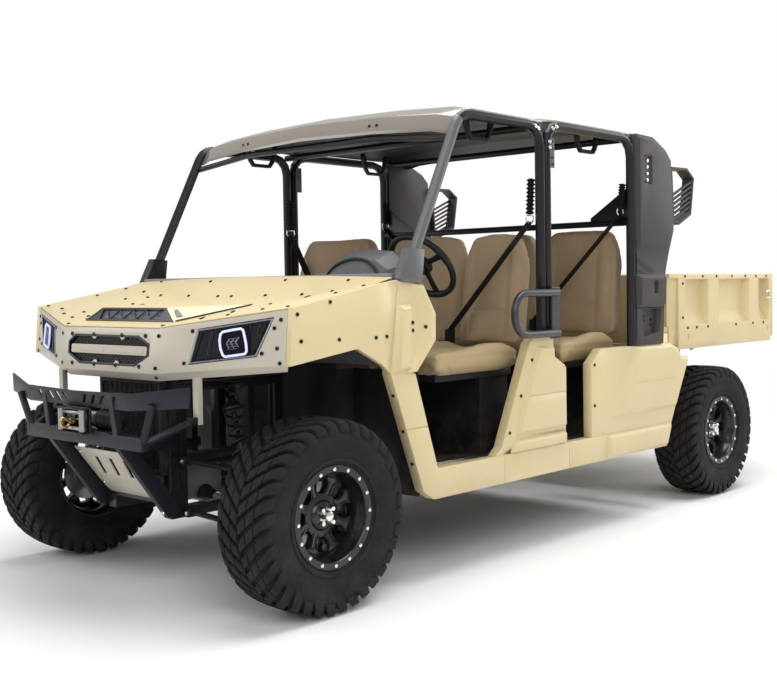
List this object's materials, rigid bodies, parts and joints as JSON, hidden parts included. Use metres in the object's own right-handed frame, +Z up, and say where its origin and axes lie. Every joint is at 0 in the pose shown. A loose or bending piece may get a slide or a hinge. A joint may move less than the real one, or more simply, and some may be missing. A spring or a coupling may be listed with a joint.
{
  "type": "utility terrain vehicle",
  "caption": "Crew-cab utility terrain vehicle with an open roll-cage cab, faceted nose, winch bumper and a tilting rear cargo bed on lugged tyres.",
  "frame": {"origin": "on the ground under the middle of the vehicle's overall box", "axes": "+X forward along the vehicle, +Y to the driver's left, +Z up"},
  "size_m": [4.356, 1.7926, 1.9483],
  "materials": {
    "body_sand": "satin",
    "frame_black": "satin",
    "plastic_black": "textured",
    "roof_tan": "gloss outside",
    "cap_grey": "textured",
    "dash_grey": "textured",
    "grille_black": "textured",
    "lamp": "gloss",
    "tail_red": "gloss",
    "seat_vinyl": "satin",
    "seat_fabric": "woven",
    "belt_webbing": "woven",
    "bumper_blue": "satin",
    "tyre": "matt",
    "rim_black": "satin black",
    "steel_dark": "dull",
    "alloy": "dull"
  },
  "bodies": {
    "chassis": {"chassis_frame": "frame_black", "floor_pan": "plastic_black", "skid_plate": "body_sand", "radiator": "frame_black", "engine_block": "steel_dark", "driveline": "alloy", "exhaust": "steel_dark", "suspension_arms": "frame_black", "shock_absorbers": "frame_black", "nose_panel": "body_sand", "headlamps": "lamp", "grille": "grille_black", "hood": "body_sand", "hood_scoop": "grille_black", "front_fenders": "body_sand", "cowl_pods": "body_sand", "body_sills": "body_sand", "centre_posts": "body_sand", "rear_quarters": "body_sand", "cowl_bar": "dash_grey", "dashboard": "dash_grey", "cage_front": "frame_black", "cage_rear": "frame_black", "roof_front": "roof_tan", "roof_rear": "roof_tan", "rear_cap": "cap_grey", "intake_vents": "plastic_black", "front_seat_cushions": "seat_vinyl", "front_seat_backs": "seat_fabric", "rear_seat_cushions": "seat_vinyl", "rear_seat_backs": "seat_fabric", "seat_bases": "plastic_black", "seat_belts": "belt_webbing", "hip_hoops": "frame_black", "grab_handles": "plastic_black", "front_bumper": "bumper_blue", "winch": "frame_black", "rear_bumper": "frame_black", "tail_lamps": "tail_red", "rear_uprights": "steel_dark"},
    "knuckle_left": {"knuckle_fl": "steel_dark"},
    "knuckle_right": {"knuckle_fr": "steel_dark"},
    "handwheel": {"steering_wheel": "plastic_black"},
    "bed": {"bed_floor": "body_sand", "bed_sides": "body_sand"},
    "tail_board": {"tailgate": "body_sand"},
    "wheel_fl": {"tyre_fl": "tyre", "rim_fl": "rim_black"},
    "wheel_fr": {"tyre_fr": "tyre", "rim_fr": "rim_black"},
    "wheel_rl": {"tyre_rl": "tyre", "rim_rl": "rim_black"},
    "wheel_rr": {"tyre_rr": "tyre", "rim_rr": "rim_black"}
  },
  "joints": [
    {"name": "wheel_spin_fl", "type": "hinge", "parent": "knuckle_left", "child": "wheel_fl", "pos_m": [1.618, 0.762, 0.35425], "axis": [0, 1, 0], "continuous": true},
    {"name": "wheel_spin_fr", "type": "hinge", "parent": "knuckle_right", "child": "wheel_fr", "pos_m": [1.618, -0.762, 0.35425], "axis": [0, 1, 0], "continuous": true},
    {"name": "wheel_spin_rl", "type": "hinge", "parent": "chassis", "child": "wheel_rl", "pos_m": [-1.308, 0.762, 0.35425], "axis": [0, 1, 0], "continuous": true},
    {"name": "wheel_spin_rr", "type": "hinge", "parent": "chassis", "child": "wheel_rr", "pos_m": [-1.308, -0.762, 0.35425], "axis": [0, 1, 0], "continuous": true},
    {"name": "steer_left", "type": "hinge", "parent": "chassis", "child": "knuckle_left", "pos_m": [1.618, 0.618, 0.35425], "axis": [0, 0, 1], "range_deg": [-28, 28]},
    {"name": "steer_right", "type": "hinge", "parent": "chassis", "child": "knuckle_right", "pos_m": [1.618, -0.618, 0.35425], "axis": [0, 0, 1], "range_deg": [-28, 28]},
    {"name": "handwheel_turn", "type": "hinge", "parent": "chassis", "child": "handwheel", "pos_m": [0.64, 0.42, 1.26], "axis": [-0.788, 0, 0.6157], "range_deg": [-266, 266]},
    {"name": "bed_tilt", "type": "hinge", "parent": "chassis", "child": "bed", "pos_m": [-2.008, 0, 0.77], "axis": [0, -1, 0], "range_deg": [0, 38]},
    {"name": "tailgate_drop", "type": "hinge", "parent": "bed", "child": "tail_board", "pos_m": [-2.163, 0, 0.822], "axis": [0, -1, 0], "range_deg": [0, 90]}
  ],
  "couplings": [
    {"joint": "steer_right", "follows": "steer_left", "ratio": 1},
    {"joint": "handwheel_turn", "follows": "steer_left", "ratio": 9.5}
  ]
}
